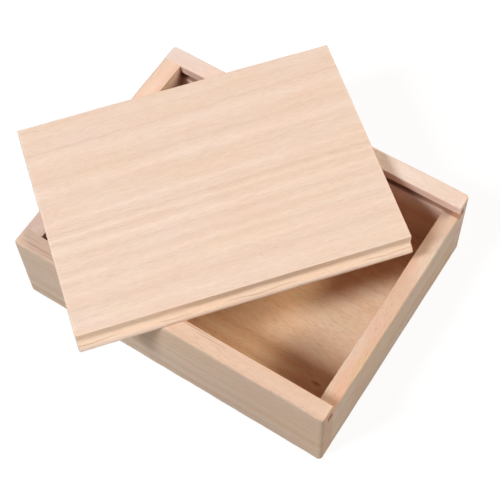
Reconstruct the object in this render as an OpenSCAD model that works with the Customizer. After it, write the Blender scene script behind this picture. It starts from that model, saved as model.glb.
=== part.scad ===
// Sliding lid box in pale solid wood, glued from boards, with no metal in it.
// Frame: +X along the box towards its open end, +Y across it, +Z up, with the
// origin at the middle of the underside. All sizes are in millimetres.
//
// The two long walls carry a groove under a lip. The lid is one board with a
// rabbet along each long edge of its top, which leaves a tongue at the bottom.
// It slides in over the low front wall, along the grooves, up to the rear wall.
// Here it lies across the box on top of the walls, as after it was drawn out.

/* [Box] */
// Outside length, from the back of the rear wall to the open end
box_length = 180; // [140:1:240]
// Outside width, across both long walls
box_width = 143; // [110:1:200]
// Outside height of the long walls and of the rear wall
box_height = 52; // [40:1:90]
// Thickness of each long wall
side_t = 9.8; // [9:0.1:14]
// Thickness of the rear wall
rear_t = 10.6; // [8:0.1:14]
// Thickness of the low front wall
front_t = 9.3; // [8:0.1:14]

/* [Bottom] */
// Thickness of the bottom panel, which lies flush with the underside
floor_t = 4.5; // [3:0.5:8]
// How far the bottom panel is let into the foot of each wall
floor_let = 5; // [3:0.5:6]

/* [Lid and grooves] */
// Thickness of the lid, which ends level with the walls when it is shut
lid_t = 9.7; // [8.5:0.1:13]
// Thickness of the tongue along each long edge of the lid
tongue_t = 3.2; // [2.4:0.1:4.5]
// Reach of the tongue past the raised middle of the lid
tongue_w = 4; // [3:0.1:5]
// Height that the groove has to spare over the tongue
groove_play = 1; // [0.4:0.1:1.4]
// Gap between the raised middle of the lid and each lip
lip_play = 0.3; // [0.2:0.1:0.8]
// Gap between the tip of the tongue and the bottom of the groove
tip_play = 0.5; // [0.3:0.1:1]
// Gap between the shut lid and the rear wall
end_play = 0.4; // [0.2:0.1:1]

/* [Sanded edges] */
// Radius of the outer edges of the box
edge_r = 1; // [0.6:0.1:1.6]
// Radius of the edges of the lid and of the inner edges of the walls
arris_r = 0.5; // [0.3:0.1:0.8]

/* [Where the lid lies] */
// On top of the walls, turned across the box, or in its grooves
lid_place = "across"; // [across, grooves]
// Turn of the lid from the length of the box when it lies across
lid_turn = 50.5; // [0:0.5:90]
// Middle of the lid along the box when it lies across
lid_x = -22.5; // [-40:0.5:20]
// Middle of the lid across the box when it lies across
lid_y = 4.2; // [-20:0.1:20]
// How far the lid is drawn out when it lies in its grooves
lid_drawn = 0; // [0:1:120]

/* [Hidden] */
$fn = 48;
// room between the long walls
inner_w = box_width - 2 * side_t;
// height of the front wall, and of the ledge at the bottom of each groove
front_h = box_height - lid_t;
// the grooves
groove_h = tongue_t + groove_play;
groove_d = tongue_w - lip_play + tip_play;
// the lid: its length, its raised middle, and its width over both tongues
lid_l = box_length - rear_t - end_play;
field_w = inner_w - 2 * lip_play;
lid_w = field_w + 2 * tongue_w;
// the bottom panel
panel_l = box_length - rear_t - front_t + 2 * floor_let;
panel_w = inner_w + 2 * floor_let;
panel_x = (rear_t - front_t) / 2;
// how far a cutting shape passes the face that it cuts
past = 1;

// What a quarter round of radius r takes off the corner at (x, y) of a profile;
// sx and sy say to which side of the corner the wood lies.
module round_off(x, y, sx, sy, r) {
    translate([x, y]) mirror([sx < 0 ? 1 : 0, 0]) mirror([0, sy < 0 ? 1 : 0])
        difference() {
            translate([-past, -past]) square(r + past);
            translate([r, r]) circle(r);
        }
}

// A rectangle with the lower left corner at (x, y) and four round corners.
module soft_rect(x, y, w, h, r) {
    difference() {
        translate([x, y]) square([w, h]);
        round_off(x, y, 1, 1, r);
        round_off(x + w, y, -1, 1, r);
        round_off(x, y + h, 1, -1, r);
        round_off(x + w, y + h, -1, -1, r);
    }
}

// Stands a profile drawn as (across, up) on end and runs it along +X.
module along_x(len) {
    translate([-len / 2, 0, 0]) rotate([90, 0, 90]) linear_extrude(len) children();
}

// Stands a profile drawn as (along, up) on end and runs it across, along Y.
module along_y(len) {
    translate([0, len / 2, 0]) rotate([90, 0, 0]) linear_extrude(len) children();
}

// Section of a long wall: outer face at 0, lip and groove at the top of the
// inner face. The groove is run from end to end in one pass.
module long_wall_section() {
    difference() {
        square([side_t, box_height]);
        translate([side_t - groove_d, front_h]) square([groove_d + past, groove_h]);
        round_off(0, 0, 1, 1, edge_r);
        round_off(0, box_height, 1, -1, edge_r);
        round_off(side_t, box_height, -1, -1, arris_r);
        round_off(side_t, front_h + groove_h, -1, 1, arris_r);
        round_off(side_t, front_h, -1, -1, arris_r);
    }
}

// The room that the bottom panel fills, level with the underside of the box.
// Each wall loses the part of it that it meets, so all of them have the rabbet.
module panel_block() {
    translate([panel_x - panel_l / 2, -panel_w / 2, 0]) cube([panel_l, panel_w, floor_t]);
}

// Long wall on the -Y side, with its ends rounded in plan and in elevation.
module long_wall() {
    difference() {
        intersection() {
            translate([0, -box_width / 2, 0]) along_x(box_length) long_wall_section();
            linear_extrude(box_height)
                soft_rect(-box_length / 2, -box_width / 2, box_length, box_width, edge_r);
            along_y(box_width) soft_rect(-box_length / 2, 0, box_length, box_height, edge_r);
        }
        panel_block();
    }
}

// Section of a wall that stands between the long walls, with its outer face at 0.
module cross_wall_section(t, h) {
    difference() {
        square([t, h]);
        round_off(0, 0, 1, 1, edge_r);
        round_off(0, h, 1, -1, edge_r);
        round_off(t, h, -1, -1, arris_r);
    }
}

// Section of the lid across its length: raised middle over two tongues.
module lid_section() {
    difference() {
        translate([-lid_w / 2, 0]) square([lid_w, lid_t]);
        for (s = [-1, 1]) {
            mirror([s < 0 ? 1 : 0, 0])
                translate([field_w / 2, tongue_t]) square([tongue_w + past, lid_t]);
            round_off(s * field_w / 2, lid_t, -s, -1, arris_r);
            round_off(s * lid_w / 2, tongue_t, -s, -1, arris_r);
            round_off(s * lid_w / 2, 0, -s, 1, arris_r);
        }
    }
}

// The lid about its own middle, lying on z = 0, with its ends rounded over.
module lid_board() {
    intersection() {
        along_x(lid_l) lid_section();
        linear_extrude(lid_t) soft_rect(-lid_l / 2, -lid_w / 2, lid_l, lid_w, edge_r);
        along_y(lid_w) soft_rect(-lid_l / 2, 0, lid_l, lid_t, arris_r);
    }
}

module left_wall() {
    color("#e0b99e") long_wall();
}

module right_wall() {
    color("#f5dac9") mirror([0, 1, 0]) long_wall();
}

module rear_wall() {
    color("#efd0ba")
        difference() {
            translate([-box_length / 2, 0, 0]) along_y(inner_w) cross_wall_section(rear_t, box_height);
            panel_block();
        }
}

module front_wall() {
    color("#e8c5ad")
        difference() {
            translate([box_length / 2, 0, 0]) mirror([1, 0, 0])
                along_y(inner_w) cross_wall_section(front_t, front_h);
            panel_block();
        }
}

module bottom_panel() {
    color("#dcb597") panel_block();
}

module lid() {
    color("#f2d6c0")
        if (lid_place == "across")
            translate([lid_x, lid_y, box_height]) rotate([0, 0, lid_turn]) lid_board();
        else
            translate([box_length / 2 - lid_l / 2 + lid_drawn, 0, front_h]) lid_board();
}

left_wall();
right_wall();
rear_wall();
front_wall();
bottom_panel();
lid();
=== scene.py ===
"""The looks of a sliding lid box: six boards of pale solid wood, hand sanded and left bare.

Every board is one outline carried along the board's length. The growth rings, pores and end
grain are one solid pattern that runs through the whole board, as they do in wood.
Lengths are in metres and the box stands on z = 0 with its open end towards +X.
"""

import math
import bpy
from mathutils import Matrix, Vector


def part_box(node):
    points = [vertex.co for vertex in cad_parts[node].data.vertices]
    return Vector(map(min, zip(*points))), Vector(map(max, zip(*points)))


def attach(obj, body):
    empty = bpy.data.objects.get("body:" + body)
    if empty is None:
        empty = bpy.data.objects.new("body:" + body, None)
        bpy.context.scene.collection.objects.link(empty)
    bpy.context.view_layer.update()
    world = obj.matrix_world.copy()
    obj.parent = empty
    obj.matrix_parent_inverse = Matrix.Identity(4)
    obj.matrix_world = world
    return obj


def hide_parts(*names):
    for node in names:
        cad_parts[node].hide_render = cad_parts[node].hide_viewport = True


bl_info = {
    "name": "Sliding Lid Box",
    "version": (1, 0, 0),
    "blender": (4, 5, 0),
    "location": "View3D > Sidebar > Lid Box",
    "description": "Boards, grain and studio of a small sliding lid box in pale solid wood",
    "category": "Add Mesh",
}

from typing import NamedTuple

import bpy
import numpy as np
from bpy.props import FloatProperty, FloatVectorProperty, PointerProperty
from mathutils import Matrix, Vector

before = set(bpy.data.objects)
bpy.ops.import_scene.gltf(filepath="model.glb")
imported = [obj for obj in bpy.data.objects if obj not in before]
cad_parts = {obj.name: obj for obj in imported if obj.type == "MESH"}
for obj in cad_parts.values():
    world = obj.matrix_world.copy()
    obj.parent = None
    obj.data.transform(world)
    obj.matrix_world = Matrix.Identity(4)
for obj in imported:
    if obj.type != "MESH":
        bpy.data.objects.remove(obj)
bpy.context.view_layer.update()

MM = 0.001
GUARD = 0.12 * MM  # where a flat face starts beside a rounded arris
LEAST_RADIUS = 0.03 * MM  # no corner is sharper than this
ARC_POINTS = 7  # points round each arris
STATION_STEP = 3 * MM  # how often a board's outline is set down along it
SANDING_WAVES = (14 * MM, 90 * MM)  # shortest and longest wave in a hand-sanded edge
SHARP = math.radians(40)  # faces that meet more squarely than this are shaded apart


def linear(srgb_hex):
    """sRGB to linear: v / 12.92 up to 0.04045, and ((v + 0.055) / 1.055) to the power 2.4 above."""
    v = np.array([int(srgb_hex[i : i + 2], 16) for i in (1, 3, 5)]) / 255
    return tuple(np.where(v <= 0.04045, v / 12.92, ((v + 0.055) / 1.055) ** 2.4).tolist())


# ---------------------------------------------------------------------------- what a user can change


def length(name, description, millimetres):
    """A length that a user can change, with its default in millimetres."""
    return FloatProperty(
        name=name,
        description=description,
        default=millimetres * MM,
        min=0.0,
        unit="LENGTH",
        precision=5,
    )


def colour(name, description, srgb_hex):
    """A colour that a user can change, with its default as an sRGB hex value."""
    return FloatVectorProperty(
        name=name,
        description=description,
        default=linear(srgb_hex),
        min=0.0,
        max=1.0,
        subtype="COLOR",
    )


class LidBoxSizes(bpy.types.PropertyGroup):
    """Sizes of the joinery and of the sanding; the outer sizes come from the CAD parts."""

    groove_height: length("Groove height", "Height of the groove under each lip", 4.2)
    groove_depth: length("Groove depth", "Depth of the groove in each long wall", 4.2)
    tongue_thickness: length("Tongue thickness", "Thickness of the tongue along the lid", 3.2)
    tongue_reach: length("Tongue reach", "Reach of the tongue past the raised middle", 4.0)
    lid_length: length("Lid length", "Length of the lid along its grain", 169.0)
    lid_width: length("Lid width", "Width of the lid over both tongues", 130.8)
    lid_turn: FloatProperty(
        name="Lid turn",
        description="Turn of the lid from the length of the box",
        default=math.radians(50.5),
        unit="ROTATION",
    )
    edge: length("Outer edge", "Radius of the sanded outer edges of the box", 1.3)
    corner: length("Upright corner", "Radius of the four upright outer corners", 2.2)
    arris: length("Arris", "Radius of the edges inside the box and on the lid", 0.5)
    seam: length("Seam", "Radius of the edges that meet in a glue joint", 0.13)
    rubbed: length("Rubbed edge", "Radius of the groove's lower edge, which the lid rubs", 1.0)
    cove: length("Cove", "Radius of the hollow corner beside each tongue of the lid", 2.0)
    unevenness: FloatProperty(
        name="Unevenness",
        description="How much the hand sanding of an edge wanders along it",
        default=0.35,
        min=0.0,
        max=0.9,
        subtype="FACTOR",
    )


class LidBoxColours(bpy.types.PropertyGroup):
    """Colour of each board's wood."""

    lid: colour("Lid", "Wood of the lid", "#f2d5c1")
    left_wall: colour("Left wall", "Wood of the near long wall", "#eac7ae")
    right_wall: colour("Right wall", "Wood of the far long wall", "#f3d8ca")
    rear_wall: colour("Rear wall", "Wood of the rear wall", "#f1cdb6")
    front_wall: colour("Front wall", "Wood of the low front wall", "#e7c0a5")
    bottom_panel: colour("Bottom panel", "Wood of the bottom panel", "#ffdab4")
    floor: colour("Studio floor", "Paper that the box stands on", "#e8e6e3")


# ---------------------------------------------------------------------------- shapes


def round_corners(corners, radii):
    """Rounds the corners of a closed outline at every station at once.

    A corner becomes the arc that touches both of its sides. It starts r * tan(turn / 2) before
    the corner. At the angle a along it the point is start + r * sin(a) * (way in)
    + r * (1 - cos(a)) * (side it turns to). A guard point on each side of the arc keeps the
    flat faces flat when shaded. corners is (stations, corners, 2), radii (stations, corners).
    """
    way_in = corners - np.roll(corners, 1, axis=1)
    way_in /= np.linalg.norm(way_in, axis=2, keepdims=True)
    way_out = np.roll(way_in, -1, axis=1)
    left = np.stack([-way_in[..., 1], way_in[..., 0]], axis=2)
    turn = np.arctan2((left * way_out).sum(2), (way_in * way_out).sum(2))
    side = left * np.sign(turn)[..., None]
    reach = (radii * np.tan(np.abs(turn) / 2))[..., None]
    angle = np.abs(turn)[..., None] * np.linspace(0, 1, ARC_POINTS)
    forward = (radii[..., None] * np.sin(angle))[..., None] * way_in[:, :, None]
    sideways = (radii[..., None] * (1 - np.cos(angle)))[..., None] * side[:, :, None]
    arc = (corners - reach * way_in)[:, :, None] + forward + sideways
    before = (corners - (reach + GUARD) * way_in)[:, :, None]
    after = (corners + (reach + GUARD) * way_out)[:, :, None]
    outline = np.concatenate([before, arc, after], axis=2)
    return outline.reshape(len(corners), -1, 2)


def move_sides_in(corners, depth):
    """Moves each side of an outline inwards by its own depth.

    depth[..., i] belongs to the side that ends at corner i. Where two sides meet square, the
    corner moves by depth in * (inward of the side in) + depth out * (inward of the side out).
    Where they run on in one line, it moves by the mean of the two depths.
    """
    way = corners - np.roll(corners, 1, axis=1)
    way /= np.linalg.norm(way, axis=2, keepdims=True)
    inward = np.stack([-way[..., 1], way[..., 0]], axis=2)
    inward_out, depth_out = np.roll(inward, -1, axis=1), np.roll(depth, -1, axis=1)
    share = np.where((inward * inward_out).sum(2) > 0.5, 0.5, 1.0)
    return corners + (share * depth)[..., None] * inward + (share * depth_out)[..., None] * inward_out


def stations_along(run, end_radius, breaks=()):
    """Where the outline is set down along a board of length run, and which part each lies in.

    Round an end the stations are run / 2 - r * (1 - sin(a)) for a from 0 to 90 degrees. Between
    the ends they are evenly spaced. A break is set down twice, once for the part on each side.
    """
    angle = np.linspace(0, np.pi / 2, ARC_POINTS + 2)
    end = run / 2 - end_radius * (1 - np.sin(angle))
    stops = [-end[0] + GUARD, *breaks, end[0] - GUARD]
    parts = [
        np.linspace(a, b, 2 + int((b - a) / STATION_STEP)) for a, b in zip(stops[:-1], stops[1:])
    ]
    along = np.concatenate([-end[::-1], *parts, end])
    part = np.repeat(np.arange(len(parts)), [len(p) for p in parts])
    return along, np.concatenate([[part[0]] * len(end), part, [part[-1]] * len(end)])


def round_over(along, run, radius):
    """How far a side has moved in at each station: r - sqrt(r^2 - (r - d)^2), d from the end."""
    from_end = (run / 2 - np.abs(along))[:, None]
    return radius - np.sqrt(np.maximum(radius**2 - np.clip(radius - from_end, 0, None) ** 2, 0))


def hand_sanding(along, corner_count, unevenness, seed):
    """Factor on each arris radius along a board: 1 + unevenness * the mean of three sines.

    Their wavelengths, within SANDING_WAVES, and their phases are drawn by a seeded generator.
    """
    draw = np.random.default_rng(seed)
    wavelength = draw.uniform(*SANDING_WAVES, (1, 3, corner_count))
    phase = draw.uniform(0, 2 * np.pi, (1, 3, corner_count))
    return 1 + unevenness * np.sin(2 * np.pi * along[:, None, None] / wavelength + phase).mean(1)


def make_board(name, corners, radii, end_radii, along, run, origin, axes, seed, painted_recess_shade=()):
    """One board: an outline carried along a straight line, rounded over at both ends.

    A point is origin + along * axes[0] + across * axes[1] + up * axes[2], where (across, up) is
    the outline. At the ends each side moves in by round_over with its own radius, and the
    corner radii shrink with it. The attribute arris is 1 on every rounded edge, and 0 on flats.
    The attribute of painted shade in grooves and rabbets is 1 from the first to the last corner
    of each listed pair, and rises and falls in the middle of the arcs of those two corners.
    Both are 0 on the end faces.
    """
    sizes = bpy.context.scene.lid_box_sizes
    depth = round_over(along, run, end_radii)
    sanded = radii * hand_sanding(along, corners.shape[1], sizes.unevenness, seed)
    less = np.minimum(depth, np.roll(depth, -1, axis=1))
    outline = round_corners(move_sides_in(corners, depth), np.maximum(sanded - less, LEAST_RADIUS))
    # the two flat end faces, as an outline a guard's width inside the rounded ends
    ends = [0, -1]
    face = move_sides_in(corners[ends], depth[ends] + GUARD)
    face = round_corners(face, np.full_like(radii[ends], LEAST_RADIUS))
    outline = np.concatenate([face[:1], outline, face[1:]])
    along = np.concatenate([along[:1], along, along[-1:]])
    axes = np.array(axes, float)
    place = np.array(origin) + along[:, None, None] * axes[0] + outline @ axes[1:]

    stations, points = outline.shape[:2]
    ring = np.arange(stations * points).reshape(stations, points)
    near, far = ring[:-1], ring[1:]
    quads = np.stack([near, np.roll(near, -1, 1), np.roll(far, -1, 1), far], axis=2)
    faces = quads.reshape(-1, 4).tolist() + [ring[0][::-1].tolist(), ring[-1].tolist()]
    mesh = bpy.data.meshes.new(name)
    mesh.from_pydata(place.reshape(-1, 3).tolist(), [], faces)
    mesh.shade_smooth()
    mesh.set_sharp_from_angle(angle=SHARP)

    off_end_face = (np.arange(stations) % (stations - 1) > 0)[:, None]
    on_arc = np.tile(np.r_[0, np.ones(ARC_POINTS), 0], corners.shape[1])
    on_end = (np.abs(along) > run / 2 - end_radii.max())[:, None]
    arris = (np.maximum(on_arc, on_end) * off_end_face).astype(np.float32)
    mesh.attributes.new("arris", "FLOAT", "POINT").data.foreach_set("value", arris.ravel())
    # up from 0 to 1 over the middle half of an arc
    rise = np.clip(np.linspace(-0.5, 1.5, ARC_POINTS + 2), 0, 1)
    # painted shade in the grooves and rabbets, 1 between each listed pair of corners
    recess_shade_mask = np.zeros((corners.shape[1], ARC_POINTS + 2))
    for first, last in painted_recess_shade:
        recess_shade_mask[first], recess_shade_mask[first + 1 : last], recess_shade_mask[last] = rise, 1, rise[::-1]
    recess_shade_mask = (recess_shade_mask.ravel() * off_end_face).astype(np.float32)
    mesh.attributes.new("painted_recess_shade", "FLOAT", "POINT").data.foreach_set("value", recess_shade_mask.ravel())
    board = bpy.data.objects.new(name, mesh)
    bpy.context.scene.collection.objects.link(board)
    return board


def finish_board(board, node, body, material):
    """Gives a board its wood, hangs it on the body that it rides on, and hides its CAD node."""
    board.data.materials.append(material)
    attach(board, body)
    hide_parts(node)


# ---------------------------------------------------------------------------- wood


def add(tree, kind, inputs=None, **settings):
    """Adds a node. inputs gives each socket a value, or the socket that it is linked from."""
    node = tree.nodes.new(kind)
    for key, value in settings.items():
        setattr(node, key, value)
    for key, value in (inputs or {}).items():
        if isinstance(value, bpy.types.NodeSocket):
            tree.links.new(value, node.inputs[key])
        else:
            node.inputs[key].default_value = value
    return node


class Grain(NamedTuple):
    """How one board was sawn from its tree, and how it has worn.

    Lengths are in millimetres, along and across the board from its middle. Three of its tints are
    painted shade: on the outer faces, on the faces inside the box, and in grooves and rabbets.
    """

    pith: tuple  # from the middle of the board to the pith of the tree, as (across, up)
    ring: float  # width of the usual pale and dark band, about one year's growth
    outward: tuple = (0, 0, 0)  # the way its outer face looks; none on the lid and the bottom
    painted_outer_shade: str = "#e8e8ea"  # tint of the outward faces: painted shade that greys and darkens the sides against the tops
    inside: str = "#f6eae2"  # tint of the faces that look into the box: painted shade inside it
    painted_recess_shade: str = "#c4a390"  # tint of the faces in a groove or rabbet: painted shade in the recess
    slope: float = 0.0  # degrees between the grain and the board's length
    figure: float = 1.0  # how strongly the bands show
    pores: float = 0.5  # how strongly the pores show
    fibres: float = 1.0  # how strongly the fine lines of its fibres show
    clouds: float = 1.0  # how strongly its rosy and honey-coloured clouds show
    stretch: tuple = (0, 0, 0)  # which stretch of the tree the board came from
    bands: tuple = ()  # (across, half width, darkness) of bands that stand out
    marks: tuple = ()  # (along, across, half length, half width, darkness) of dark streaks


GRAIN = {
    "lid": Grain(
        pith=(-230, 60),
        ring=6.0,
        slope=1.1,
        painted_recess_shade="#faf7f0",
        pores=0.3,
        figure=0.3,
        clouds=0.5,
        bands=(
            (53.0, 1.5, 0.5),
            (44.7, 1.4, 1.1),
            (39.5, 4.0, -0.7),
            (27.5, 3.4, 0.8),
            (20.5, 3.8, -1.1),
            (14.0, 2.5, 0.8),
            (7.0, 2.0, 0.4),
            (2.7, 2.2, -0.9),
            (-0.8, 1.3, 0.6),
            (-3.9, 1.4, 1.0),
            (-7.0, 1.5, -1.0),
            (-9.7, 1.6, 0.9),
            (-14.0, 2.4, -1.2),
            (-18.5, 2.0, 0.5),
            (-26.0, 2.6, 0.7),
            (-30.0, 2.4, -0.8),
            (-34.0, 1.8, 0.5),
            (-39.5, 2.4, -0.6),
            (-46.5, 3.0, 0.8),
            (-54.5, 2.5, -0.9),
        ),
    ),
    "left_wall": Grain(
        pith=(40, -70),
        ring=5.0,
        outward=(0, -1, 0),
        # painted shade on the outer face
        painted_outer_shade="#dce0de",
        inside="#ffffff",
        clouds=0.6,
        fibres=1.2,
        figure=0.7,
        stretch=(300, 20, 5),
        marks=(
            (10, 3.9, 16, 0.35, 0.8),
            (24, 2.6, 9, 0.3, 0.5),
            (-77, -1.2, 12, 0.4, 0.6),
            (-82, 1.4, 6, 0.3, 0.4),
            (-66, -2.6, 8, 0.3, 0.4),
            (72, -5, 60, 3, 0.16),  # a faint darker stretch of the outer face near the open end
        ),
    ),
    "right_wall": Grain(
        pith=(-60, -90),
        ring=7.0,
        outward=(0, 1, 0),
        figure=0.6,
        stretch=(610, 10, 40),
    ),
    "rear_wall": Grain(
        pith=(50, -60),
        ring=6.0,
        outward=(-1, 0, 0),
        # faintly cool painted shade on the inner face
        inside="#f0f8ff",
        figure=0.8,
        stretch=(90, 70, 20),
    ),
    "front_wall": Grain(
        pith=(25, -50),
        ring=3.0,
        outward=(1, 0, 0),
        # painted shade that greys and cools the outer face
        painted_outer_shade="#cedde9",
        figure=0.8,
        pores=0.6,
        clouds=2.0,
        stretch=(420, 33, 61),
    ),
    "bottom_panel": Grain(
        pith=(-190, -45),
        ring=6.0,
        figure=0.9,
        pores=0.8,
        fibres=2.2,
        clouds=0.8,
        stretch=(800, 5, 9),
        marks=((67.4, -39.1, 3.2, 1.1, 1.0),),  # a small dark fleck in the near corner
    ),
}
LATEWOOD_TINT = linear("#faf8f6")
PORE_TINT = linear("#e6d6c6")
MARK_TINT = linear("#d6b9a8")
ROSY_TINT = linear("#fffcfc")
HONEY_TINT = linear("#fffdf9")
END_GRAIN_TINT = linear("#c4c6c8")
# paler sanded edges, partly a painted highlight along them
PALE_EDGE_AND_HIGHLIGHT_TINT = linear("#fafafb")

# how far each feature of the wood runs along the grain and how wide it is, in millimetres
RING_STRAY = (60, 30)  # the slow wandering of the rings
RING_PATCH = (90, 22)  # where the bands show more or less
RIPPLE = (11, 5)  # the small waves of a band that stands out
BREAK = (25, 3)  # where such a band fades
PORE = (3.0, 0.42)  # one open pore, cut lengthwise
PORE_ROW = (40, 4)  # where the pores crowd
FIBRE = (4.5, 0.36)  # a bundle of fibres
ROSY_CLOUD = (28, 7)
HONEY_CLOUD = (45, 10)
RAISED_GRAIN = (4.0, 0.4)  # the ridges that sanding leaves between softer wood

STRAY_REACH = 4.0  # how far a ring strays from a true circle, in mm from one extreme to the other
RIPPLE_REACH = 2.4  # and a band's ripple, likewise
WOOD_IOR = 1.5
WOOD_SPECULAR = 0.1  # sanded open fibres scatter nearly all light
WOOD_ROUGHNESS = (0.68, 0.85)  # of the sanded surface, and in the pores


def streaks(tree, wood, size, detail=1.0):
    """A cloud drawn out along the grain: noise of (x / run, y / width, z / width), in mm.

    size is (run, width). The values lie round 0.5, mostly between 0.3 and 0.7.
    """
    run, width = size
    shrink = (1 / run, 1 / width, 1 / width)
    scaled = add(tree, "ShaderNodeVectorMath", {0: wood, 1: shrink}, operation="MULTIPLY")
    noise = {"Vector": scaled.outputs[0], "Scale": 1.0, "Detail": detail}
    return add(tree, "ShaderNodeTexNoise", noise).outputs["Fac"]


def spread(tree, value, low, high, to_low=0.0, to_high=1.0, **settings):
    """Carries value from the range low to high over to the range to_low to to_high."""
    limits = {"Value": value, "From Min": low, "From Max": high, "To Min": to_low, "To Max": to_high}
    return add(tree, "ShaderNodeMapRange", limits, **settings).outputs[0]


def bare_paulownia(node, base, middle, turn):
    """Sawn, planed and hand-sanded paulownia without any finish.

    To the eye that is pale and matt: soft bands, fine open pores and no shine. The growth
    rings are circles round the pith, which runs along the board. The bands follow the distance
    from it, so they come out as lines on the faces and as arcs on the end grain. Every tint
    multiplies the base colour by 1 + factor * (tint - 1).
    """
    grain = GRAIN[node]
    material = bpy.data.materials.new("bare_sanded_paulownia_" + node)
    material.use_nodes = True
    tree = material.node_tree

    def maths(operation, *values):
        """The result of one sum on values, each a number or a socket."""
        return add(tree, "ShaderNodeMath", dict(enumerate(values)), operation=operation).outputs[0]

    place = add(tree, "ShaderNodeTexCoord")
    millimetres = {
        "Vector": place.outputs["Object"],
        "Location": tuple(middle),
        "Rotation": (0, 0, turn + math.radians(grain.slope)),
        "Scale": (MM, MM, MM),
    }
    board = add(tree, "ShaderNodeMapping", millimetres, vector_type="TEXTURE").outputs[0]
    wood = add(tree, "ShaderNodeVectorMath", {0: board, 1: grain.stretch}, operation="ADD").outputs[0]

    # distance from the pith, with rings that stray a little from true circles
    from_pith = add(
        tree,
        "ShaderNodeVectorMath",
        {0: board, 1: (0, 1, 1), 2: (0, -grain.pith[0], -grain.pith[1])},
        operation="MULTIPLY_ADD",
    )
    distance = add(tree, "ShaderNodeVectorMath", {0: from_pith.outputs[0]}, operation="LENGTH")
    stray = maths("MULTIPLY_ADD", streaks(tree, wood, RING_STRAY), STRAY_REACH, -STRAY_REACH / 2)
    radius = maths("ADD", distance.outputs["Value"], stray)

    # soft bands of uneven width, that show more in some places than in others
    bands = add(
        tree,
        "ShaderNodeTexNoise",
        {"W": maths("DIVIDE", radius, grain.ring), "Scale": 1.0, "Detail": 1.5, "Roughness": 0.6},
        noise_dimensions="1D",
    ).outputs["Fac"]
    clearness = spread(tree, streaks(tree, wood, RING_PATCH), 0.35, 0.65, 0.3, 1.7)
    late = maths("MULTIPLY", spread(tree, bands, 0.5, 0.7, clamp=False), clearness)
    late = maths("MULTIPLY", late, grain.figure)

    # the bands and streaks that stand out on this board
    parts = add(tree, "ShaderNodeSeparateXYZ", {0: board}).outputs
    ripple = maths("MULTIPLY_ADD", streaks(tree, wood, RIPPLE), RIPPLE_REACH, -RIPPLE_REACH / 2)
    across = maths("ADD", parts["Y"], maths("MULTIPLY_ADD", stray, 0.6, ripple))
    broken = spread(tree, streaks(tree, wood, BREAK), 0.3, 0.6, 0.7, 1.2)
    for at, half_width, darkness in grain.bands:
        off = maths("ABSOLUTE", maths("SUBTRACT", across, at))
        band = spread(tree, off, 0, half_width, darkness, 0.0, interpolation_type="SMOOTHSTEP")
        late = maths("MULTIPLY_ADD", band, broken, late)
    marked = 0.0
    for at, aside, half_length, half_width, darkness in grain.marks:
        # full within 0.4 of its half size from its middle, and gone at 1.2 of it
        shrink = (1 / half_length, 1 / half_width, 0)
        off = add(tree, "ShaderNodeVectorMath", {0: board, 1: (-at, -aside, 0)}, operation="ADD")
        off = {0: off.outputs[0], 1: shrink}
        off = add(tree, "ShaderNodeVectorMath", off, operation="MULTIPLY").outputs[0]
        far = add(tree, "ShaderNodeVectorMath", {0: off}, operation="LENGTH").outputs["Value"]
        marked = maths("ADD", marked, spread(tree, far, 0.4, 1.2, darkness, 0.0))

    # real pores are 0.2 to 0.3 mm wide; these are 0.4 mm, so that they show at this distance
    open_pores = spread(tree, streaks(tree, wood, PORE), 0.6, 0.7)
    crowded = spread(tree, streaks(tree, wood, PORE_ROW), 0.42, 0.62, 0.15, 1.0)
    pores = maths("MULTIPLY", open_pores, maths("MULTIPLY", crowded, grain.pores))
    # single fibres are far too fine to show, so these are bundles a third of a millimetre wide
    fibres = streaks(tree, wood, FIBRE, detail=2.0)
    fibres = spread(tree, fibres, 0.5, 0.7, 0, grain.fibres, clamp=False)

    # broad faint clouds of a rosier and of a more honey-coloured wood
    rosy = spread(tree, streaks(tree, wood, ROSY_CLOUD), 0.5, 0.65, 0, grain.clouds, clamp=False)
    honey = spread(tree, streaks(tree, wood, HONEY_CLOUD), 0.5, 0.65, 0, grain.clouds, clamp=False)

    # how squarely a face cuts the fibres, 1 on end grain, and how far it looks outwards
    along = (math.cos(turn), math.sin(turn), 0)
    normal = place.outputs["Normal"]
    facing = add(tree, "ShaderNodeVectorMath", {0: normal, 1: along}, operation="DOT_PRODUCT")
    end_grain = spread(tree, maths("ABSOLUTE", facing.outputs["Value"]), 0.6, 0.95)
    outside = add(tree, "ShaderNodeVectorMath", {0: normal, 1: grain.outward}, operation="DOT_PRODUCT")
    # painted shade on the faces that look outwards
    painted_outer_shade = spread(tree, outside.outputs["Value"], 0.2, 0.9)
    # painted shade on the faces that look into the box
    inside = spread(tree, outside.outputs["Value"], -0.2, -0.9)
    # painted shade in the grooves and rabbets
    painted_recess_shade = add(tree, "ShaderNodeAttribute", attribute_name="painted_recess_shade").outputs["Fac"]
    # sanding leaves the arrises a little paler, and they carry a painted highlight too, so their tint
    # is taken away instead of put on
    arris = add(tree, "ShaderNodeAttribute", attribute_name="arris").outputs["Fac"]
    arris = maths("MULTIPLY", arris, -1.0)

    shade = (*base, 1)
    for factor, tint in (
        (late, LATEWOOD_TINT),
        (fibres, LATEWOOD_TINT),
        (pores, PORE_TINT),
        (marked, MARK_TINT),
        (rosy, ROSY_TINT),
        (honey, HONEY_TINT),
        (end_grain, END_GRAIN_TINT),
        (painted_outer_shade, linear(grain.painted_outer_shade)),
        (inside, linear(grain.inside)),
        (painted_recess_shade, linear(grain.painted_recess_shade)),
        (arris, PALE_EDGE_AND_HIGHLIGHT_TINT),
    ):
        mixed = add(
            tree,
            "ShaderNodeMix",
            {0: factor, 6: shade, 7: (*tint, 1)},
            data_type="RGBA",
            blend_type="MULTIPLY",
            clamp_factor=False,
        )
        shade = mixed.outputs[2]

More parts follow.
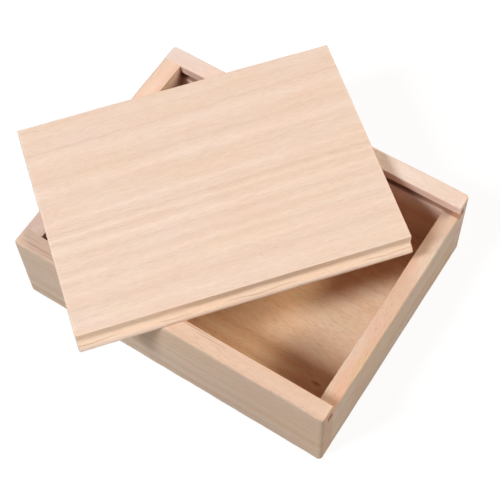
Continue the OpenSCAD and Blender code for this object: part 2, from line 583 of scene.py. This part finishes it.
    # the fibres stand up a little and the pores are pits, a twentieth of a millimetre in all
    height = maths("SUBTRACT", streaks(tree, wood, RAISED_GRAIN), open_pores)
    relief = add(tree, "ShaderNodeBump", {"Height": height, "Strength": 0.5, "Distance": 0.05 * MM})
    shader = tree.nodes["Principled BSDF"]
    shader.inputs["IOR"].default_value = WOOD_IOR
    shader.inputs["Specular IOR Level"].default_value = WOOD_SPECULAR
    tree.links.new(shade, shader.inputs["Base Color"])
    tree.links.new(spread(tree, pores, 0, 1, *WOOD_ROUGHNESS), shader.inputs["Roughness"])
    tree.links.new(relief.outputs[0], shader.inputs["Normal"])
    return material


# ---------------------------------------------------------------------------- pieces


LID_TIP = 2.2  # how much rounder the tongues' corners are than the lid's other edges


def box_of(node):
    """The lowest and the highest corner of a CAD node."""
    low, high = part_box(node)
    return np.array(low), np.array(high)


def long_wall_outline(along, part, sizes):
    """Corners and radii of a long wall, as (from the outer face, up), at every station.

    In the middle part the foot has the rabbet that the bottom panel is let into. Beside the
    rear wall and over the front wall the inner edges are a tight glue joint.
    """
    low, high = box_of("left_wall")
    panel_low, panel_high = box_of("bottom_panel")
    thick, tall = high[1] - low[1], high[2]
    let_in, panel_top = high[1] - panel_low[1], panel_high[2]
    ledge = box_of("front_wall")[1][2]
    lip = ledge + sizes.groove_height
    groove_bottom = thick - sizes.groove_depth
    rabbet = (part == 1)[:, None]
    corners = np.broadcast_to(
        [
            (0, 0),
            (thick - let_in, 0),
            (thick, 0),
            (thick, panel_top),
            (thick, ledge),
            (groove_bottom, ledge),
            (groove_bottom, lip),
            (thick, lip),
            (thick, tall),
            (0, tall),
        ],
        (len(along), 10, 2),
    ).copy()
    corners[:, 2] = np.where(rabbet, (thick - let_in, panel_top), (thick, 0))
    edge, arris, seam, rubbed = sizes.edge, sizes.arris, sizes.seam, sizes.rubbed
    row = [edge, seam, seam, seam, rubbed, seam, seam, arris, arris, edge]
    radii = np.tile(row, (len(along), 1))
    return corners, radii


class LIDBOX_OT_long_walls(bpy.types.Operator):
    """Make the two long walls, grooved under a lip along the top of their inner face"""

    bl_idname = "lid_box.long_walls"
    bl_label = "Long Walls"

    def execute(self, context):
        sizes, colours = context.scene.lid_box_sizes, context.scene.lid_box_colours
        panel_low, panel_high = box_of("bottom_panel")
        rear_inner = box_of("rear_wall")[1][0]
        front_inner = box_of("front_wall")[0][0]
        for node, sign, seed in (("left_wall", 1, 3), ("right_wall", -1, 8)):
            low, high = box_of(node)
            run = high[0] - low[0]
            origin = (0, low[1] if sign > 0 else high[1], 0)
            breaks = sorted((sign * panel_low[0], sign * panel_high[0]))
            along, part = stations_along(run, sizes.corner, breaks)
            corners, radii = long_wall_outline(along, part, sizes)
            in_box = sign * along
            # the lip's upper edge is glued beside the rear wall, and the ledge's to the front wall
            joined = np.clip((rear_inner - in_box) / MM, 0, 1)[:, None]
            over_front = np.clip((in_box - front_inner) / MM, 0, 1)[:, None]
            radii[:, 8:9] += joined * (sizes.seam - radii[:, 8:9])
            radii[:, 4:5] += over_front * (sizes.seam - radii[:, 4:5])
            # the groove's faces get painted shade
            groove = [(4, 7)]
            seam, arris, edge = sizes.seam, sizes.arris, sizes.edge
            # the side that ends at each corner: outer face, foot, foot, rabbet, inner face, ...
            ends = np.array([sizes.corner, edge, edge, seam, seam, arris, arris, arris, seam, edge])
            wall = make_board(
                node.replace("_wall", "_long_wall"), corners, radii, ends, along, run,
                origin, [(sign, 0, 0), (0, sign, 0), (0, 0, 1)], seed, groove,
            )
            wood = bare_paulownia(node, getattr(colours, node), (low + high) / 2, 0.0)
            finish_board(wall, node, "box", wood)
        return {"FINISHED"}


class LIDBOX_OT_end_walls(bpy.types.Operator):
    """Make the rear wall and the low front wall, glued between the long walls"""

    bl_idname = "lid_box.end_walls"
    bl_label = "End Walls"

    def execute(self, context):
        sizes, colours = context.scene.lid_box_sizes, context.scene.lid_box_colours
        panel_low, panel_high = box_of("bottom_panel")
        for node, sign, seed in (("rear_wall", 1, 5), ("front_wall", -1, 12)):
            low, high = box_of(node)
            run = high[1] - low[1]
            thick, tall = high[0] - low[0], high[2]
            outer = low[0] if sign > 0 else high[0]
            inner = high[0] if sign > 0 else low[0]
            panel_edge = panel_low[0] if sign > 0 else panel_high[0]
            let_in = abs(inner - panel_edge)
            edge, arris, seam = sizes.edge, sizes.arris, sizes.seam
            along, _ = stations_along(run, seam)
            outline = [
                (0, 0),
                (thick - let_in, 0),
                (thick - let_in, panel_high[2]),
                (thick, panel_high[2]),
                (thick, tall),
                (0, tall),
            ]
            corners = np.tile(np.array(outline), (len(along), 1, 1))
            radii = np.tile([edge, seam, seam, seam, arris, edge], (len(along), 1))
            wall = make_board(
                node.replace("_wall", "_end_wall"), corners, radii, np.full(6, seam), along, run,
                (outer, 0, 0), [(0, -sign, 0), (sign, 0, 0), (0, 0, 1)], seed,
            )
            wood = bare_paulownia(node, getattr(colours, node), (low + high) / 2, math.pi / 2)
            finish_board(wall, node, "box", wood)
        return {"FINISHED"}


class LIDBOX_OT_bottom_panel(bpy.types.Operator):
    """Make the bottom panel, let into the feet of the walls"""

    bl_idname = "lid_box.bottom_panel"
    bl_label = "Bottom Panel"

    def execute(self, context):
        sizes, colours = context.scene.lid_box_sizes, context.scene.lid_box_colours
        low, high = box_of("bottom_panel")
        run, middle = high[0] - low[0], (low + high) / 2
        along, _ = stations_along(run, sizes.seam)
        outline = [(low[1], 0), (high[1], 0), (high[1], high[2]), (low[1], high[2])]
        corners = np.tile(np.array(outline), (len(along), 1, 1))
        radii = np.full((len(along), 4), sizes.seam)
        panel = make_board(
            "bottom_board", corners, radii, np.full(4, sizes.seam), along, run,
            (middle[0], 0, 0), [(1, 0, 0), (0, 1, 0), (0, 0, 1)], 21,
        )
        wood = bare_paulownia("bottom_panel", colours.bottom_panel, middle, 0.0)
        finish_board(panel, "bottom_panel", "box", wood)
        return {"FINISHED"}


class LIDBOX_OT_lid(bpy.types.Operator):
    """Make the lid: a raised middle over two tongues, lying across the top of the box"""

    bl_idname = "lid_box.lid"
    bl_label = "Lid"

    def execute(self, context):
        sizes, colours = context.scene.lid_box_sizes, context.scene.lid_box_colours
        low, high = box_of("lid")
        middle, thick = (low + high) / 2, high[2] - low[2]
        run, half = sizes.lid_length, sizes.lid_width / 2
        field, tongue = half - sizes.tongue_reach, sizes.tongue_thickness
        along, _ = stations_along(run, sizes.edge)
        outline = [
            (-half, 0), (half, 0), (half, tongue), (field, tongue),
            (field, thick), (-field, thick), (-field, tongue), (-half, tongue),
        ]
        corners = np.tile(np.array(outline), (len(along), 1, 1))
        arris, cove = sizes.arris, sizes.cove
        radii = np.tile([arris, arris, cove, cove, arris, arris, cove, cove], (len(along), 1))
        # the tongues' outer corners are rounder, so that the lid stays within the solid's box
        tip = LID_TIP * arris
        ends = np.array([tip, arris, tip, arris, arris, arris, arris, arris])
        # the rabbets' faces get a faint painted shade
        rabbets = [(1, 4), (5, 7)]
        c, s = math.cos(sizes.lid_turn), math.sin(sizes.lid_turn)
        lid = make_board(
            "lid_board", corners, radii, ends, along, run,
            (middle[0], middle[1], low[2]), [(c, s, 0), (-s, c, 0), (0, 0, 1)], 30, rabbets,
        )
        wood = bare_paulownia("lid", colours.lid, middle, sizes.lid_turn)
        finish_board(lid, "lid", "lid", wood)
        return {"FINISHED"}


# ---------------------------------------------------------------------------- studio

# lengths in metres, as everywhere, except where a comment says otherwise
FLOOR_HALF = 3.0
PAPER_WHITE = 0.8  # the share of the floor's look that is plain white, the rest being lit paper
NEAR_GLOW, FAR_GLOW = (0.3, 1.1), (1.2, 1.25)  # distance from the box and strength of that white
SKY = ((0.7, 0.85, 1, 1), 0.05)  # faint cool light from all round, that softens the shadows
LAMP_DISTANCE = 2.2
LAMPS = (  # name, (azimuth, elevation) in degrees, (width, height), watts, colour
    ("left_soft_box", (-27, 47), (0.4, 0.6), 34.5, (0.93, 1.0, 1.075)),
    ("right_soft_box", (115, 39), (0.7, 0.4), 17.6, (1.0, 0.89, 0.72)),
    ("far_soft_box", (142, 33), (0.8, 0.4), 11.5, (1.0, 0.89, 0.72)),
    ("front_soft_box", (50, 12), (1.3, 1.3), 4.8, (0.94, 1.0, 1.08)),
    ("back_soft_box", (218, 34), (1.3, 1.3), 9.5, (1.0, 0.91, 0.86)),
)
IMAGE_WIDTH = 500  # the photograph's frame, in pixels
SENSOR = 36.0  # width of the camera's sensor, in millimetres
CAMERA_AT = (0.187098, -0.258870, 0.606462)
CAMERA_AZIMUTH = 36.63  # degrees from +Y towards -X that it looks
CAMERA_ELEVATION = 61.09  # degrees that it looks down
CAMERA_ROLL = -4.20  # degrees that it is turned about its own axis
FOCAL_PIXELS = 1279.43  # focal length, in pixels of the photograph's frame
IMAGE_MIDDLE = (235.43, 242.02)  # pixel that the camera's axis passes through


def soft_box(name, toward, size, power, colour_of_light):
    """An area lamp that faces the box from the direction toward = (azimuth, elevation).

    Azimuth runs from -Y towards +X.
    """
    azimuth, elevation = np.radians(toward)
    level = math.cos(elevation)
    direction = Vector((math.sin(azimuth) * level, -math.cos(azimuth) * level, math.sin(elevation)))
    lamp = bpy.data.lights.new(name, "AREA")
    lamp.shape = "RECTANGLE"
    lamp.size, lamp.size_y = size
    lamp.energy = power
    lamp.color = colour_of_light
    holder = bpy.data.objects.new(name, lamp)
    facing = direction.to_track_quat("Z", "Y").to_matrix().to_4x4()
    holder.matrix_world = Matrix.Translation(direction * LAMP_DISTANCE) @ facing
    bpy.context.scene.collection.objects.link(holder)


def seen_directly(tree):
    """1 for rays that look straight, or in a mirror or through glass, and 0 for rays of light."""
    ray = add(tree, "ShaderNodeLightPath").outputs
    seen = ray["Is Camera Ray"]
    for other in ("Is Glossy Ray", "Is Transmission Ray"):
        seen = add(tree, "ShaderNodeMath", {0: seen, 1: ray[other]}, operation="MAXIMUM").outputs[0]
    return seen


def make_floor(scene):
    """Matt paper, pale and without any shine.

    Light falls on it as on any paper. To the camera it is mostly plain white, and the share of
    lit paper keeps the box's shadow. The white gets stronger away from the box, so that no
    edge of the paper shows.
    """
    h = FLOOR_HALF
    mesh = bpy.data.meshes.new("studio_floor")
    mesh.from_pydata([(-h, -h, 0), (h, -h, 0), (h, h, 0), (-h, h, 0)], [], [(0, 1, 2, 3)])
    floor = bpy.data.objects.new("studio_floor", mesh)
    scene.collection.objects.link(floor)
    paper = bpy.data.materials.new("matt_paper")
    paper.use_nodes = True
    tree = paper.node_tree
    tree.nodes.clear()
    share = add(tree, "ShaderNodeMath", {0: seen_directly(tree), 1: PAPER_WHITE}, operation="MULTIPLY")
    place = add(tree, "ShaderNodeTexCoord").outputs["Object"]
    far = add(tree, "ShaderNodeVectorMath", {0: place}, operation="LENGTH").outputs["Value"]
    glow = spread(tree, far, NEAR_GLOW[0], FAR_GLOW[0], NEAR_GLOW[1], FAR_GLOW[1])
    lit = add(tree, "ShaderNodeBsdfDiffuse", {"Color": (*scene.lid_box_colours.floor, 1)})
    white = add(tree, "ShaderNodeEmission", {"Color": (1, 1, 1, 1), "Strength": glow})
    both = {0: share.outputs[0], 1: lit.outputs[0], 2: white.outputs[0]}
    mixed = add(tree, "ShaderNodeMixShader", both)
    add(tree, "ShaderNodeOutputMaterial", {"Surface": mixed.outputs[0]})
    mesh.materials.append(paper)


def make_world(scene):
    """White to look at, and a faint cool sky to the surfaces that it lights."""
    world = bpy.data.worlds.new("studio_world")
    scene.world = world
    world.use_nodes = True
    tree = world.node_tree
    tree.nodes.clear()
    sky = add(tree, "ShaderNodeBackground", {"Color": SKY[0], "Strength": SKY[1]})
    white = add(tree, "ShaderNodeBackground", {"Color": (1, 1, 1, 1), "Strength": 1.0})
    both = {0: seen_directly(tree), 1: sky.outputs[0], 2: white.outputs[0]}
    mixed = add(tree, "ShaderNodeMixShader", both)
    add(tree, "ShaderNodeOutputWorld", {"Surface": mixed.outputs[0]})


def make_camera(scene):
    """The camera that was fitted to the photograph, turned about its own axis by its roll."""
    azimuth, elevation, roll = np.radians([CAMERA_AZIMUTH, CAMERA_ELEVATION, CAMERA_ROLL])
    level = math.cos(elevation)
    look = Vector((-math.sin(azimuth) * level, math.cos(azimuth) * level, -math.sin(elevation)))
    right = look.cross(Vector((0, 0, 1))).normalized()
    up = right.cross(look)
    turned_right = math.cos(roll) * right + math.sin(roll) * up
    turned_up = math.cos(roll) * up - math.sin(roll) * right
    lens = bpy.data.cameras.new("camera")
    lens.sensor_width = SENSOR
    lens.lens = SENSOR * FOCAL_PIXELS / IMAGE_WIDTH
    lens.shift_x = 0.5 - IMAGE_MIDDLE[0] / IMAGE_WIDTH
    lens.shift_y = IMAGE_MIDDLE[1] / IMAGE_WIDTH - 0.5
    lens.clip_start = 0.01
    camera = bpy.data.objects.new("camera", lens)
    facing = Matrix((turned_right, turned_up, -look)).transposed().to_4x4()
    camera.matrix_world = Matrix.Translation(CAMERA_AT) @ facing
    scene.collection.objects.link(camera)
    scene.camera = camera


class LIDBOX_OT_studio(bpy.types.Operator):
    """Make the pale floor, the soft lights and the camera"""

    bl_idname = "lid_box.studio"
    bl_label = "Studio"

    def execute(self, context):
        scene = context.scene
        make_floor(scene)
        make_world(scene)
        for lamp in LAMPS:
            soft_box(*lamp)
        make_camera(scene)
        scene.view_settings.view_transform = "Standard"
        return {"FINISHED"}


class LIDBOX_PT_sidebar(bpy.types.Panel):
    """Lists the pieces of the box and its settings"""

    bl_label = "Lid Box"
    bl_idname = "LIDBOX_PT_sidebar"
    bl_space_type = "VIEW_3D"
    bl_region_type = "UI"
    bl_category = "Lid Box"

    def draw(self, context):
        for operator in OPERATORS:
            self.layout.operator(operator.bl_idname)
        for group in (context.scene.lid_box_sizes, context.scene.lid_box_colours):
            for name in group.__annotations__:
                self.layout.prop(group, name)


OPERATORS = (
    LIDBOX_OT_long_walls,
    LIDBOX_OT_end_walls,
    LIDBOX_OT_bottom_panel,
    LIDBOX_OT_lid,
    LIDBOX_OT_studio,
)
CLASSES = (LidBoxSizes, LidBoxColours, *OPERATORS, LIDBOX_PT_sidebar)


def register():
    """Makes the classes known to Blender, and gives every scene the two groups of settings."""
    for each in CLASSES:
        bpy.utils.register_class(each)
    bpy.types.Scene.lid_box_sizes = PointerProperty(type=LidBoxSizes)
    bpy.types.Scene.lid_box_colours = PointerProperty(type=LidBoxColours)


def unregister():
    """Takes back what register did, in the opposite order."""
    del bpy.types.Scene.lid_box_sizes
    del bpy.types.Scene.lid_box_colours
    for each in reversed(CLASSES):
        bpy.utils.unregister_class(each)


def main():
    """Makes the whole box and its studio."""
    register()
    bpy.ops.lid_box.long_walls()
    bpy.ops.lid_box.end_walls()
    bpy.ops.lid_box.bottom_panel()
    bpy.ops.lid_box.lid()
    bpy.ops.lid_box.studio()


if __name__ == "__main__":
    main()
